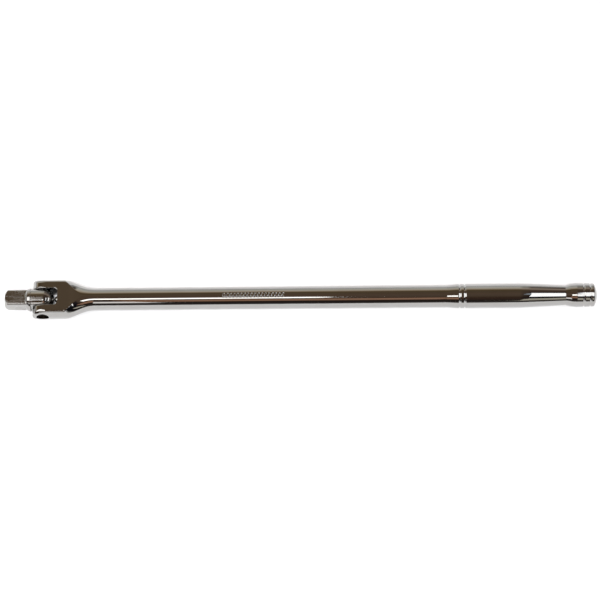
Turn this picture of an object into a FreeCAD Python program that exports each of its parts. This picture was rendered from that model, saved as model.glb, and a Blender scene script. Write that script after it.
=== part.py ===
"""Half-inch drive breaker bar: a forged bar with a forked end, and a square drive head hinged in the fork.

Millimetres, +Z up. While the shapes are made, X is the distance from the tip of the square along the
bar's axis, and Y and Z are measured from that axis. The hinge pin lies along Y. At export everything
moves so that the origin is under the middle of the bar, on the surface that its grip lies on.
"""

import FreeCAD, Part
import math
import os

V = FreeCAD.Vector
X_AXIS = V(1, 0, 0)
Y_AXIS = V(0, 1, 0)

# ---- driving dimensions --------------------------------------------------------------------------
OVERALL_LENGTH = 460.0
SQUARE = 12.7                  # across the flats of the drive, half an inch
SHANK_RADIUS = 8.6
GRIP_RADIUS = 9.3
YOKE_RADIUS = 15.0             # the round sides of the fork
YOKE_HALF_THICKNESS = 8.1      # from the axis to the fork's flat faces
SLOT_WIDTH = 13.8              # between the ears
PIN_RADIUS = 4.75              # 3/8 inch hinge pin
HINGE_X = 29.5                 # the pin's axis, from the tip of the square

# ---- drive head ----------------------------------------------------------------------------------
SQUARE_CORNER_RADIUS = 1.6
TIP_FACE_RADIUS = 5.7          # flat end face inside the turned chamfer
TIP_CHAMFER_SLOPE = 1.15       # radius gained per millimetre along the axis
SHOULDER_START = 15.1          # where the shoulder cone leaves the axis of the square
SHOULDER_START_RADIUS = 6.0
COLLAR_RADIUS = 8.9
COLLAR_START = 17.7
COLLAR_END = 20.2
COLLAR_SHOULDER_ROUND = 4.0     # the side towards the square is gently domed
COLLAR_ROUND = 0.5
KNUCKLE_RADIUS = 8.6           # round neck and ball end, centred on the pin
TONGUE_GAP = 0.25              # from each side of the tongue to the ear beside it
HINGE_CLEARANCE = 0.05         # radial, pin to tongue

# ---- socket detent, in the back face of the square -----------------------------------------------
DETENT_X = 8.2
DETENT_BALL_RADIUS = 2.38
DETENT_PROUD = 0.9             # how far the ball stands out of the face
DETENT_BORE_RADIUS = 2.45
DETENT_LIP_RADIUS = 2.28       # staked rim that keeps the ball in
DETENT_LIP_DEPTH = 0.6
DETENT_BORE_DEPTH = 9.4
DETENT_WIRE = 0.55
DETENT_SPRING_RADIUS = 1.75    # to the wire's centre
DETENT_COILS = 5

# ---- friction detent, in the throat of the fork --------------------------------------------------
FRICTION_BALL_RADIUS = 3.0
FRICTION_GAP = 0.13            # ball to knuckle, so that the swung neck clears it too
FRICTION_BORE_RADIUS = 3.1
FRICTION_BORE_DEPTH = 14.0
FRICTION_WIRE = 0.8
FRICTION_SPRING_RADIUS = 2.55
FRICTION_COILS = 6
SPRING_GAP = 0.04              # spring to what it touches, in the solids

# ---- fork and hinge pin --------------------------------------------------------------------------
SLOT_END = 41.0
SLOT_CORNER_RADIUS = 3.0
SLOT_RIM_CHAMFER = 0.5
PIN_LENGTH = 23.0
PIN_CHAMFER = 0.7
PIN_HOLE_ROUND = 0.4
EDGE_BREAK_START = 11.4        # half-width of the flats inside the broken long edges
EDGE_BREAK_ANGLE = 29.0        # degrees that the broken edge leans from the flat
NECK_START = 46.7              # the fork's section is constant up to here
NECK_END = 71.0                # the neck is as round as the shank from here on
SHOULDER_X = 50.0              # where the neck's straight taper would leave the fork's round side
TAPER_END_X = 64.6             # and where it would meet the shank
SHOULDER_SOFTNESS = 1.6        # how far each of those corners is rounded, along the axis
TAPER_END_SOFTNESS = 5.6
SIDE_FALL_END = 66.7           # the neck is no higher than the shank from here on
SIDE_FALL_POWER = 6.0
FLAT_RISE_START = 48.7         # from here the flats rise along a parabola
V_TIP = 59.7                   # and run out at the shank's own height, in a V
SECTION_COUNT = 21

# ---- shank and grip ------------------------------------------------------------------------------
GRIP_FLARE = (343.4, 351.6)    # corners of the swell from the shank to the grip
GRIP_FLARE_ROUND = 14.0
GRIP_GROOVES = (353.3, 357.2)
TAPER_START = 402.5
TAPER_START_ROUND = 250.0
WAIST_X = 435.4
WAIST_RADIUS = 7.65
WAIST_ROUND = 0.8
KNOB_SHOULDER_X = 439.6
KNOB_SHOULDER_RADIUS = 8.75
KNOB_SHOULDER_ROUND = 12.0
KNOB_X = 444.1
KNOB_RADIUS = 9.2
KNOB_ROUND = 3.0
KNOB_GROOVES = (449.7, 454.8)
KNOB_RIM_RADIUS = 8.95         # where the knob's side meets its domed end
KNOB_RIM_ROUND = 0.9
DOME_RADIUS = 18.0
GROOVE_HALF_WIDTH = 0.95
GROOVE_DEPTH = 0.45
GROOVE_LIP_ROUND = 0.3
GROOVE_FLOOR_ROUND = 0.3

TO_ROW_FRAME = V(-OVERALL_LENGTH / 2, 0, GRIP_RADIUS)
TOUCHING = 1e-4                # closer than this counts as the same place
REACH = 2 * YOKE_RADIUS        # well outside the fork


# ---- small helpers -------------------------------------------------------------------------------
def rounded_corner(before, corner, after, radius):
    """Where a rounding leaves the first side, its middle, and where it meets the second side."""
    back = (before - corner).normalize()
    ahead = (after - corner).normalize()
    half_angle = back.getAngle(ahead) / 2
    reach = radius / math.tan(half_angle)
    bulge = radius / math.sin(half_angle) - radius
    return corner + back * reach, corner + (back + ahead).normalize() * bulge, corner + ahead * reach


def outline(corners):
    """Edges of an outline over the bar's axis, through corners given as (x, radius, rounding)."""
    places = [V(x, 0, radius) for x, radius, _ in corners]
    edges = []
    here = places[0]
    for before, corner, after, (_, _, rounding) in zip(places, places[1:], places[2:], corners[1:]):
        there = corner
        if rounding:
            there, middle, leave = rounded_corner(before, corner, after, rounding)
        edges.append(Part.LineSegment(here, there).toShape())
        here = there
        if rounding:
            edges.append(Part.Arc(there, middle, leave).toShape())
            here = leave
    edges.append(Part.LineSegment(here, places[-1]).toShape())
    return edges


def revolved(edges):
    """Solid of revolution about the bar's axis of the area under an outline."""
    first = edges[0].valueAt(edges[0].FirstParameter)
    last = edges[-1].valueAt(edges[-1].LastParameter)
    corners = [last, V(last.x, 0, 0), V(first.x, 0, 0), first]
    closing = [
        Part.LineSegment(start, end).toShape() for start, end in zip(corners, corners[1:])
        if start.distanceToPoint(end) > TOUCHING
    ]
    return Part.Face(Part.Wire(edges + closing)).revolve(V(0, 0, 0), X_AXIS, 360)


def box_between(low, high):
    size = V(*high) - V(*low)
    return Part.makeBox(size.x, size.y, size.z, V(*low))


def across_hinge(radius):
    """Cylinder along the hinge's axis, longer than the fork is wide."""
    return Part.makeCylinder(radius, 2 * REACH, V(HINGE_X, -REACH, 0), Y_AXIS)


def spring(radius, wire, coils, low, high):
    """Compression spring along +Z between two heights, as one helix of round wire."""
    rise = high - low - wire
    path = Part.makeHelix(rise / coils, rise, radius)
    circle = Part.Circle(V(radius, 0, 0), Y_AXIS, wire / 2)
    body = Part.Wire(path).makePipeShell([Part.Wire(circle.toShape())], True, True)
    body.translate(V(0, 0, low + wire / 2))
    return body


def edges_where(shape, test):
    return [edge for edge in shape.Edges if test(edge)]


def all_at(edge, test):
    """True if the edge's ends and middle all pass the test."""
    middle = edge.valueAt((edge.FirstParameter + edge.LastParameter) / 2)
    return all(test(point) for point in [vertex.Point for vertex in edge.Vertexes] + [middle])


def export(name, shape):
    if not shape.isValid():
        raise ValueError(f"{name} isn't a valid solid")
    placed = shape.copy()
    placed.translate(TO_ROW_FRAME)
    placed.exportStep(f"parts/{name}.step")
    print(f"{name:18s} solids {len(placed.Solids)}  volume {placed.Volume:10.1f} mm3")


# ---- fork and neck -------------------------------------------------------------------------------
def softened(x, corner, reach):
    """Zero before a corner and x - corner after it, with a parabola tangent to both within reach of it."""
    if x <= corner - reach:
        return 0.0
    if x >= corner + reach:
        return x - corner
    return (x - corner + reach) ** 2 / (4 * reach)


def neck_half_width(x):
    """Half-width along Y: a rounded shoulder, a straight taper and a long blend into the shank."""
    slope = (YOKE_RADIUS - SHANK_RADIUS) / (TAPER_END_X - SHOULDER_X)
    fall = softened(x, SHOULDER_X, SHOULDER_SOFTNESS) - softened(x, TAPER_END_X, TAPER_END_SOFTNESS)
    return YOKE_RADIUS - slope * fall


def neck_half_height(x):
    """Half-height along Z before the flats are cut: it falls fast behind the fork."""
    share = min(1.0, (x - NECK_START) / (SIDE_FALL_END - NECK_START))
    return SHANK_RADIUS + (YOKE_RADIUS - SHANK_RADIUS) * (1 - share) ** SIDE_FALL_POWER


def neck_section(x):
    """Section of the neck, a stretched circle."""
    stretch = FreeCAD.Matrix()
    stretch.scale(1, neck_half_width(x), neck_half_height(x))
    stretch.move(x, 0, 0)
    return Part.Wire(Part.Circle(V(0, 0, 0), X_AXIS, 1).toShape()).transformGeometry(stretch)


def flats():
    """Block between the two flat faces, which rise in a parabola behind the fork."""
    shank_slope = 2 * (SHANK_RADIUS - YOKE_HALF_THICKNESS) / (V_TIP - FLAT_RISE_START)
    end_height = SHANK_RADIUS + shank_slope * (NECK_END + 1 - V_TIP)
    edges = []
    for side in (1, -1):
        low = V(FLAT_RISE_START, -YOKE_RADIUS - 1, side * YOKE_HALF_THICKNESS)
        turn = V((FLAT_RISE_START + V_TIP) / 2, low.y, low.z)
        tip = V(V_TIP, low.y, side * SHANK_RADIUS)
        rise = Part.BezierCurve()
        rise.setPoles([low, turn, tip])
        edges.append(Part.LineSegment(V(0, low.y, low.z), low).toShape())
        edges.append(rise.toShape())
        edges.append(Part.LineSegment(tip, V(NECK_END + 1, low.y, side * end_height)).toShape())
    for x, height in ((0, YOKE_HALF_THICKNESS), (NECK_END + 1, end_height)):
        top = V(x, -YOKE_RADIUS - 1, height)
        edges.append(Part.LineSegment(top, V(x, top.y, -height)).toShape())
    profile = Part.Wire(Part.sortEdges(edges)[0])
    return Part.Face(profile).extrude(V(0, 2 * YOKE_RADIUS + 2, 0))


def edge_break(y_sign, z_sign):
    """Block outside the broken edge between a flat and a round side; it runs out on the neck by itself."""
    block = box_between((0, -SQUARE, 0), (NECK_END, SQUARE, SQUARE))
    block.rotate(V(0, 0, 0), X_AXIS, -y_sign * EDGE_BREAK_ANGLE)
    block.translate(V(0, y_sign * EDGE_BREAK_START, YOKE_HALF_THICKNESS))
    if z_sign < 0:
        block.rotate(V(0, 0, 0), X_AXIS, 180)
    return block


def fork():
    """Fork and neck, with the fork's round ear ends but without its slot and holes."""
    ear_tip = HINGE_X - YOKE_HALF_THICKNESS
    step = (NECK_END - NECK_START) / (SECTION_COUNT - 1)
    sections = [neck_section(NECK_START + step * i) for i in range(SECTION_COUNT)]
    blank = Part.makeCylinder(YOKE_RADIUS, NECK_START - ear_tip, V(ear_tip, 0, 0), X_AXIS)
    body = blank.fuse(Part.makeLoft(sections, True, False)).common(flats())
    for y_sign in (1, -1):
        for z_sign in (1, -1):
            body = body.cut(edge_break(y_sign, z_sign))
    ears = across_hinge(YOKE_HALF_THICKNESS)
    behind = box_between((HINGE_X, -REACH, -REACH), (NECK_END, REACH, REACH))
    return body.common(ears.fuse(behind)).removeSplitter()


def slot_cut():
    half = SLOT_WIDTH / 2
    block = box_between((0, -half, -YOKE_RADIUS), (SLOT_END, half, YOKE_RADIUS))

    def at_corner(point):
        return abs(point.x - SLOT_END) < TOUCHING and abs(abs(point.y) - half) < TOUCHING

    return block.makeFillet(SLOT_CORNER_RADIUS, edges_where(block, lambda edge: all_at(edge, at_corner)))


def on_slot_rim(edge):
    """Edges of the slot's mouth on the two flats, behind the ears' round ends."""

    def near(point):
        inside = abs(point.y) < SLOT_WIDTH / 2 + TOUCHING and point.x < SLOT_END + TOUCHING
        return inside and abs(abs(point.z) - YOKE_HALF_THICKNESS) < TOUCHING

    return all_at(edge, near)


def on_pin_hole_rim(edge):
    """Outer rims of the pin's holes, which follow the fork's round sides."""
    hinge = V(HINGE_X, 0, 0)

    def near(point):
        from_pin = (point - hinge).cross(Y_AXIS).Length
        return abs(from_pin - PIN_RADIUS) < TOUCHING and abs(point.y) > SLOT_WIDTH / 2 + 1

    return all_at(edge, near)


def groove(x, radius, slope):
    """Corners of a turned groove in a side whose radius changes by slope per millimetre."""
    return [
        (x - GROOVE_HALF_WIDTH, radius - slope * GROOVE_HALF_WIDTH, GROOVE_LIP_ROUND),
        (x, radius - GROOVE_DEPTH, GROOVE_FLOOR_ROUND),
        (x + GROOVE_HALF_WIDTH, radius + slope * GROOVE_HALF_WIDTH, GROOVE_LIP_ROUND),
    ]


def turned_bar():
    """Shank, grip and knob, from the end of the neck to the domed end."""
    corners = [
        (NECK_END, SHANK_RADIUS, 0),
        (GRIP_FLARE[0], SHANK_RADIUS, GRIP_FLARE_ROUND),
        (GRIP_FLARE[1], GRIP_RADIUS, GRIP_FLARE_ROUND),
    ]
    for x in GRIP_GROOVES:
        corners += groove(x, GRIP_RADIUS, 0)
    corners += [
        (TAPER_START, GRIP_RADIUS, TAPER_START_ROUND),
        (WAIST_X, WAIST_RADIUS, WAIST_ROUND),
        (KNOB_SHOULDER_X, KNOB_SHOULDER_RADIUS, KNOB_SHOULDER_ROUND),
        (KNOB_X, KNOB_RADIUS, KNOB_ROUND),
    ]
    dome_centre = OVERALL_LENGTH - DOME_RADIUS
    rim_x = dome_centre + math.sqrt(DOME_RADIUS**2 - KNOB_RIM_RADIUS**2)
    slope = (KNOB_RIM_RADIUS - KNOB_RADIUS) / (rim_x - KNOB_X)
    for x in KNOB_GROOVES:
        corners += groove(x, KNOB_RADIUS + slope * (x - KNOB_X), slope)
    corners.append((rim_x, KNOB_RIM_RADIUS, 0))
    half_angle = math.asin(KNOB_RIM_RADIUS / DOME_RADIUS) / 2
    middle = V(dome_centre, 0, 0) + V(math.cos(half_angle), 0, math.sin(half_angle)) * DOME_RADIUS
    dome = Part.Arc(V(rim_x, 0, KNOB_RIM_RADIUS), middle, V(OVERALL_LENGTH, 0, 0)).toShape()
    body = revolved(outline(corners) + [dome])
    rim = edges_where(body, lambda edge: all_at(edge, lambda point: abs(point.x - rim_x) < TOUCHING))
    return body.makeFillet(KNOB_RIM_ROUND, rim)


def handle():
    """The whole one-piece bar: fork, shank, grip and knob."""
    body = fork().fuse(turned_bar()).removeSplitter()
    body = body.cut(slot_cut())
    body = body.makeChamfer(SLOT_RIM_CHAMFER, edges_where(body, on_slot_rim))
    body = body.cut(across_hinge(PIN_RADIUS))
    body = body.makeFillet(PIN_HOLE_ROUND, edges_where(body, on_pin_hole_rim))
    bore_mouth = V(SLOT_END - 1, 0, 0)
    return body.cut(Part.makeCylinder(FRICTION_BORE_RADIUS, FRICTION_BORE_DEPTH + 1, bore_mouth, X_AXIS))


def drive_head():
    """Square, collar and ball-ended tongue in one forging, with the hinge bore and the detent's bore."""
    tongue_half = SLOT_WIDTH / 2 - TONGUE_GAP
    half = SQUARE / 2
    square = box_between((0, -half, -half), (COLLAR_END - COLLAR_ROUND, half, half))
    long_edges = edges_where(square, lambda edge: edge.Length > SQUARE + 1)
    square = square.makeFillet(SQUARE_CORNER_RADIUS, long_edges)
    blank_x = (SQUARE - TIP_FACE_RADIUS) / TIP_CHAMFER_SLOPE
    turned = outline([(0, TIP_FACE_RADIUS, 0), (blank_x, SQUARE, 0), (COLLAR_END, SQUARE, 0)])
    square = square.common(revolved(turned))
    collar = revolved(outline([
        (SHOULDER_START, SHOULDER_START_RADIUS, 0),
        (COLLAR_START, COLLAR_RADIUS, COLLAR_SHOULDER_ROUND),
        (COLLAR_END, COLLAR_RADIUS, COLLAR_ROUND),
        (COLLAR_END, KNUCKLE_RADIUS - 1, 0),
    ]))
    neck = Part.makeCylinder(KNUCKLE_RADIUS, HINGE_X - COLLAR_END + 1, V(COLLAR_END - 1, 0, 0), X_AXIS)
    knuckle = neck.fuse(Part.makeSphere(KNUCKLE_RADIUS, V(HINGE_X, 0, 0)))
    slab = box_between((COLLAR_END - 1, -tongue_half, -SQUARE), (HINGE_X + SQUARE, tongue_half, SQUARE))
    body = square.fuse(collar).fuse(knuckle.common(slab)).removeSplitter()
    body = body.cut(across_hinge(PIN_RADIUS + HINGE_CLEARANCE))
    bore_floor = V(DETENT_X, half - DETENT_BORE_DEPTH, 0)
    bore_length = DETENT_BORE_DEPTH - DETENT_LIP_DEPTH
    body = body.cut(Part.makeCylinder(DETENT_BORE_RADIUS, bore_length, bore_floor, Y_AXIS))
    lip_floor = V(DETENT_X, half - DETENT_LIP_DEPTH, 0)
    return body.cut(Part.makeCylinder(DETENT_LIP_RADIUS, half, lip_floor, Y_AXIS))


def hinge_pin():
    pin = Part.makeCylinder(PIN_RADIUS, PIN_LENGTH, V(HINGE_X, -PIN_LENGTH / 2, 0), Y_AXIS)

    def at_end(point):
        return abs(abs(point.y) - PIN_LENGTH / 2) < TOUCHING

    return pin.makeChamfer(PIN_CHAMFER, edges_where(pin, lambda edge: all_at(edge, at_end)))


def detent_ball():
    centre = V(DETENT_X, SQUARE / 2 + DETENT_PROUD - DETENT_BALL_RADIUS, 0)
    return Part.makeSphere(DETENT_BALL_RADIUS, centre)


def seat_depth(ball_radius, spring_radius, wire):
    """How far behind a ball's centre the spring that bears on it begins."""
    return math.sqrt((ball_radius + SPRING_GAP + wire / 2) ** 2 - spring_radius**2) - wire / 2


def detent_spring():
    floor = SQUARE / 2 - DETENT_BORE_DEPTH
    ball_y = SQUARE / 2 + DETENT_PROUD - DETENT_BALL_RADIUS
    top = ball_y - seat_depth(DETENT_BALL_RADIUS, DETENT_SPRING_RADIUS, DETENT_WIRE)
    body = spring(DETENT_SPRING_RADIUS, DETENT_WIRE, DETENT_COILS, floor + SPRING_GAP, top)
    body.rotate(V(0, 0, 0), X_AXIS, -90)
    body.translate(V(DETENT_X, 0, 0))
    return body


def friction_ball_x():
    return HINGE_X + KNUCKLE_RADIUS + FRICTION_GAP + FRICTION_BALL_RADIUS


def friction_ball():
    return Part.makeSphere(FRICTION_BALL_RADIUS, V(friction_ball_x(), 0, 0))


def friction_spring():
    floor = SLOT_END + FRICTION_BORE_DEPTH
    front = friction_ball_x() + seat_depth(FRICTION_BALL_RADIUS, FRICTION_SPRING_RADIUS, FRICTION_WIRE)
    body = spring(FRICTION_SPRING_RADIUS, FRICTION_WIRE, FRICTION_COILS, front, floor - SPRING_GAP)
    body.rotate(V(0, 0, 0), Y_AXIS, 90)
    return body


def main():
    os.makedirs("parts", exist_ok=True)
    export("handle", handle())
    export("drive_head", drive_head())
    export("hinge_pin", hinge_pin())
    export("detent_ball", detent_ball())
    export("detent_spring", detent_spring())
    export("friction_ball", friction_ball())
    export("friction_spring", friction_spring())


main()
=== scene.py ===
"""Looks of a half-inch drive breaker bar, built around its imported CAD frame.

The bar, the drive head, the pin and the two springs are meshes of the same shapes as their CAD solids,
with the edges softened as polishing and plating leave them. The two balls are the CAD nodes themselves.
Shapes are worked out in millimetres, with x from the tip of the square along the bar's axis and y and z
from that axis, and are placed in the frame, in metres, by to_frame().
"""

import math

import bpy
import numpy as np
from mathutils import Matrix, Vector


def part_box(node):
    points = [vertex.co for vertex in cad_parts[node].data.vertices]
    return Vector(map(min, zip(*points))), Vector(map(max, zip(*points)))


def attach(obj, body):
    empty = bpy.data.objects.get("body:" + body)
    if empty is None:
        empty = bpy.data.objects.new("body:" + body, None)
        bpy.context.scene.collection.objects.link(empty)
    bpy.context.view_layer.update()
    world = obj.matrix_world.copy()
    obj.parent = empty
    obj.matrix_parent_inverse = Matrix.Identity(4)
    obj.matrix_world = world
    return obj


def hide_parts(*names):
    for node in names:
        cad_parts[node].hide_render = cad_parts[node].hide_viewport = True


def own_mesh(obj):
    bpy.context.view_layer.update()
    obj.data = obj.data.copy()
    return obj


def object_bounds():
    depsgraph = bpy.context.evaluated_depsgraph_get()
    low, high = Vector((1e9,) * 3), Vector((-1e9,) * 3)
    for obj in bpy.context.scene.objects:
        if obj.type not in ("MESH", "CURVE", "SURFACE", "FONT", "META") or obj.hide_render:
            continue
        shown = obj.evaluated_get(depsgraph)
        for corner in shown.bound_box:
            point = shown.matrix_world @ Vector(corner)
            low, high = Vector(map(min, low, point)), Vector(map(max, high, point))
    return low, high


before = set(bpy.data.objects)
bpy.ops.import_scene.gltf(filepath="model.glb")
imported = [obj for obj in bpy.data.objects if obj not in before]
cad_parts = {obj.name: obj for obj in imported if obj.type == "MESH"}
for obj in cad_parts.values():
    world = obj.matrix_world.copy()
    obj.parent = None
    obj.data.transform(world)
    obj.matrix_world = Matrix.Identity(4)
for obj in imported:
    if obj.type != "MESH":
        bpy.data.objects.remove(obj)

cad_low, cad_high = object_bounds()

# ---- places, from the frame ----------------------------------------------------------------------
MM = 0.001
pin_low, pin_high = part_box("hinge_pin")
head_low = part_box("drive_head")[0]
detent_low, detent_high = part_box("detent_ball")
AXIS_Z = (cad_low.z + cad_high.z) / 2
TIP_X = head_low.x
HINGE_X = ((pin_low.x + pin_high.x) / 2 - TIP_X) / MM
PIN_RADIUS = (pin_high.z - pin_low.z) / 2 / MM
PIN_HALF_LENGTH = (pin_high.y - pin_low.y) / 2 / MM
DETENT_X = ((detent_low.x + detent_high.x) / 2 - TIP_X) / MM
OVERALL_LENGTH = (cad_high.x - TIP_X) / MM

# ---- fork and neck, in millimetres ---------------------------------------------------------------
YOKE_RADIUS = 15.0
YOKE_HALF_THICKNESS = 8.1
SHANK_RADIUS = 8.6
NECK_START = 46.7
NECK_END = 71.0
SHOULDER_X = 50.0
TAPER_END_X = 64.6
SHOULDER_SOFTNESS = 1.6
TAPER_END_SOFTNESS = 5.6
SIDE_FALL_END = 66.7
SIDE_FALL_POWER = 6.0
SIDE_FALL_SOFTNESS = 0.5
FLAT_RISE_START = 48.7
V_TIP = 59.7
SLOT_HALF_WIDTH = 6.9
SLOT_END = 41.0
SLOT_CORNER_RADIUS = 3.0
FRICTION_BORE_RADIUS = 3.1
FRICTION_BORE_END = 55.0
FORK_EDGE_ROUND = 1.0
V_EDGE_ROUND = 0.1
V_START = 49.0                 # where the fork's soft edges have become the crisp edges of the V
EAR_EDGE_ROUND = 1.7           # the ears' ends are ground rounder than the rest
EAR_RIM_ROUND = 0.9
EAR_ROUND_START = 28.0         # the ears' rounder edges fade into the fork's between these two places
EAR_ROUND_END = 32.0
SLOT_RIM_ROUND = 0.35
PIN_HOLE_RIM_ROUND = 0.6
PIN_HOLE_MARGIN = 0.05         # points this close to the pin's holes count as their walls
FRICTION_BORE_RIM_ROUND = 0.2
FLAT_CROWN = 0.16              # how far polishing has rolled the flats off at their edges

# ---- drive head ----------------------------------------------------------------------------------
SQUARE_HALF = 6.35
SQUARE_CORNER_RADIUS = 1.6
TIP_FACE_RADIUS = 5.7
TIP_FACE_ROUND = 0.5
TIP_CHAMFER_SLOPE = 1.15
TIP_CHAMFER_ROUND = 0.3
SHOULDER_START = 15.1
SHOULDER_START_RADIUS = 6.0
COLLAR_START = 17.7
COLLAR_END = 20.2
COLLAR_RADIUS = 8.9
COLLAR_DRAFT = 0.06
COLLAR_SHOULDER_ROUND = 1.25
COLLAR_ROUND = 0.4
COLLAR_FILLET = 0.35           # in the corner between the square and the collar
KNUCKLE_RADIUS = 8.6
TONGUE_HALF = 6.65
TONGUE_EDGE_ROUND = 0.5
TONGUE_FILLET = 0.3            # in the corner between the collar and the tongue
HINGE_BORE_RADIUS = 4.8
HINGE_BORE_RIM_ROUND = 0.3
DETENT_BORE_RADIUS = 2.45
DETENT_BORE_DEPTH = 9.4
DETENT_LIP_RADIUS = 2.28
DETENT_LIP_DEPTH = 0.6
DETENT_LIP_OVERLAP = 0.1       # how far the lip's hole reaches down into the bore
DETENT_LIP_ROUND = 0.12
HIDDEN_ROUND = 0.05            # edges that no one sees
SQUARE_END_ROUND = 0.1         # where the square ends inside the collar
SATIN_END = 1.0                # the satin flats end this far before the collar
SATIN_FADE = 2.0               # and take this long to fade out
FLAT_FACING = 0.95             # a normal this close to an axis begins to count as a flat's
FLAT_FACING_FADE = 0.04

# ---- pin and springs -----------------------------------------------------------------------------
PIN_CHAMFER = 0.7
PIN_CHAMFER_ROUND = 0.25
PIN_DIMPLE_RADIUS = 0.9        # centre-drilled in both ends
PIN_DIMPLE_DEPTH = 0.8
PIN_DIMPLE_TIP_RADIUS = 0.02
PIN_DIMPLE_RIM_ROUND = 0.1
DETENT_TURNS = 5
DETENT_WIRE = 0.55
FRICTION_TURNS = 6
FRICTION_WIRE = 0.8

# ---- shank, grip and knob ------------------------------------------------------------------------
GRIP_RADIUS = 9.3
GRIP_FLARE = (343.4, 351.6)
GRIP_FLARE_ROUND = 14.0
GRIP_GROOVES = (353.3, 357.2)
TAPER_START = 402.5
TAPER_START_ROUND = 250.0
WAIST_X = 435.4
WAIST_RADIUS = 7.65
WAIST_ROUND = 0.8
KNOB_SHOULDER_X = 439.6
KNOB_SHOULDER_RADIUS = 8.75
KNOB_SHOULDER_ROUND = 12.0
KNOB_X = 444.1
KNOB_RADIUS = 9.2
KNOB_ROUND = 3.0
KNOB_GROOVES = (449.7, 454.8)
KNOB_RIM_RADIUS = 8.95
KNOB_RIM_ROUND = 0.9
DOME_RADIUS = 18.0
DOME_RIM_LEAN = math.radians(6)        # how far inside the dome's rim its own rings start
DOME_RINGS = 12
GROOVE_HALF_WIDTH = 0.95
GROOVE_DEPTH = 0.45
GROOVE_LIP_ROUND = 0.3
GROOVE_FLOOR_ROUND = 0.3

# ---- row of plain stamped strokes on top of the shank --------------------------------------------
MARK_START = 170.0
MARK_END = 217.0
MARK_PITCH = 2.7
MARK_HALF_WIDTH = 0.6
MARK_HALF_HEIGHT = 1.65
MARK_LEAN = math.radians(5)    # how far their middle is round the shank from the top, towards -Y
MARK_SLANT = 0.25
MARK_DEPTH = 0.32
MARK_SOFTNESS = 0.75
MARK_RING_STEP = 0.25
MARK_MARGIN = 1.0              # close rings reach this far beyond the strokes

# ---- mesh sizes ----------------------------------------------------------------------------------
FORK_CELL = 0.32
HEAD_CELL = 0.23
GRID_MARGIN = 1.0              # how far a grid reaches beyond its shape
RELAXING_ROUNDS = 3            # how often points are drawn to the middle of their neighbours
BAR_SEGMENTS = 128
LONGEST_RING_STEP = 6.0
PIN_SEGMENTS = 64
PIN_RING_STEP = 1.5
ARC_STEP = math.radians(10)    # longest step round a rounded corner
PROBE = 0.01                   # half the step of a numerical slope
COIL_STEPS = 40                # rings to each turn of a spring
WIRE_SEGMENTS = 16             # sides of a spring's wire


def to_frame(points):
    """Points in millimetres from the tip and the axis, as points in the row frame in metres."""
    return np.asarray(points) * MM + np.array([TIP_X, 0, AXIS_Z])


# ---- shape functions: negative inside, about the distance to the surface outside -----------------
def meet(a, b, radius):
    """What is in both a and b, with the edge between them rounded."""
    beyond = np.hypot(np.maximum(a + radius, 0), np.maximum(b + radius, 0))
    return np.minimum(-radius, np.maximum(a, b)) + beyond


def join(a, b, radius):
    """What is in a or b, with a fillet between them."""
    return -meet(-a, -b, radius)


def softened(x, corner, reach):
    """Zero before a corner and x - corner after it, with a parabola tangent to both within reach of it."""
    near = np.clip(x - corner + reach, 0, 2 * reach)
    return near**2 / (4 * reach) + np.maximum(x - corner - reach, 0)


def rounded_rectangle(u, v, half_u, half_v, radius):
    """A rectangle about the middle of the u and v directions, with round corners."""
    du = np.abs(u) - half_u + radius
    dv = np.abs(v) - half_v + radius
    return np.hypot(np.maximum(du, 0), np.maximum(dv, 0)) + np.minimum(np.maximum(du, dv), 0) - radius


def cone(x, away, start_x, start_radius, slope):
    """A cone about the bar's axis that widens with x."""
    return (away - start_radius - slope * (x - start_x)) / math.hypot(1, slope)


def neck_blank(x, y, z):
    """Fork and neck before the flats: a round bar that shrinks through ellipses into the shank."""
    slope = (YOKE_RADIUS - SHANK_RADIUS) / (TAPER_END_X - SHOULDER_X)
    fall = softened(x, SHOULDER_X, SHOULDER_SOFTNESS) - softened(x, TAPER_END_X, TAPER_END_SOFTNESS)
    half_width = YOKE_RADIUS - slope * fall
    share = softened(x, NECK_START, SIDE_FALL_SOFTNESS) / (SIDE_FALL_END - NECK_START)
    rest = np.maximum(1 - share, 0) ** SIDE_FALL_POWER
    half_height = SHANK_RADIUS + (YOKE_RADIUS - SHANK_RADIUS) * rest
    level = np.maximum(np.hypot(y / half_width, z / half_height), 1e-6)
    steepness = np.maximum(np.hypot(y / half_width**2, z / half_height**2), 1e-6)
    return level * (level - 1) / steepness


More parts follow.
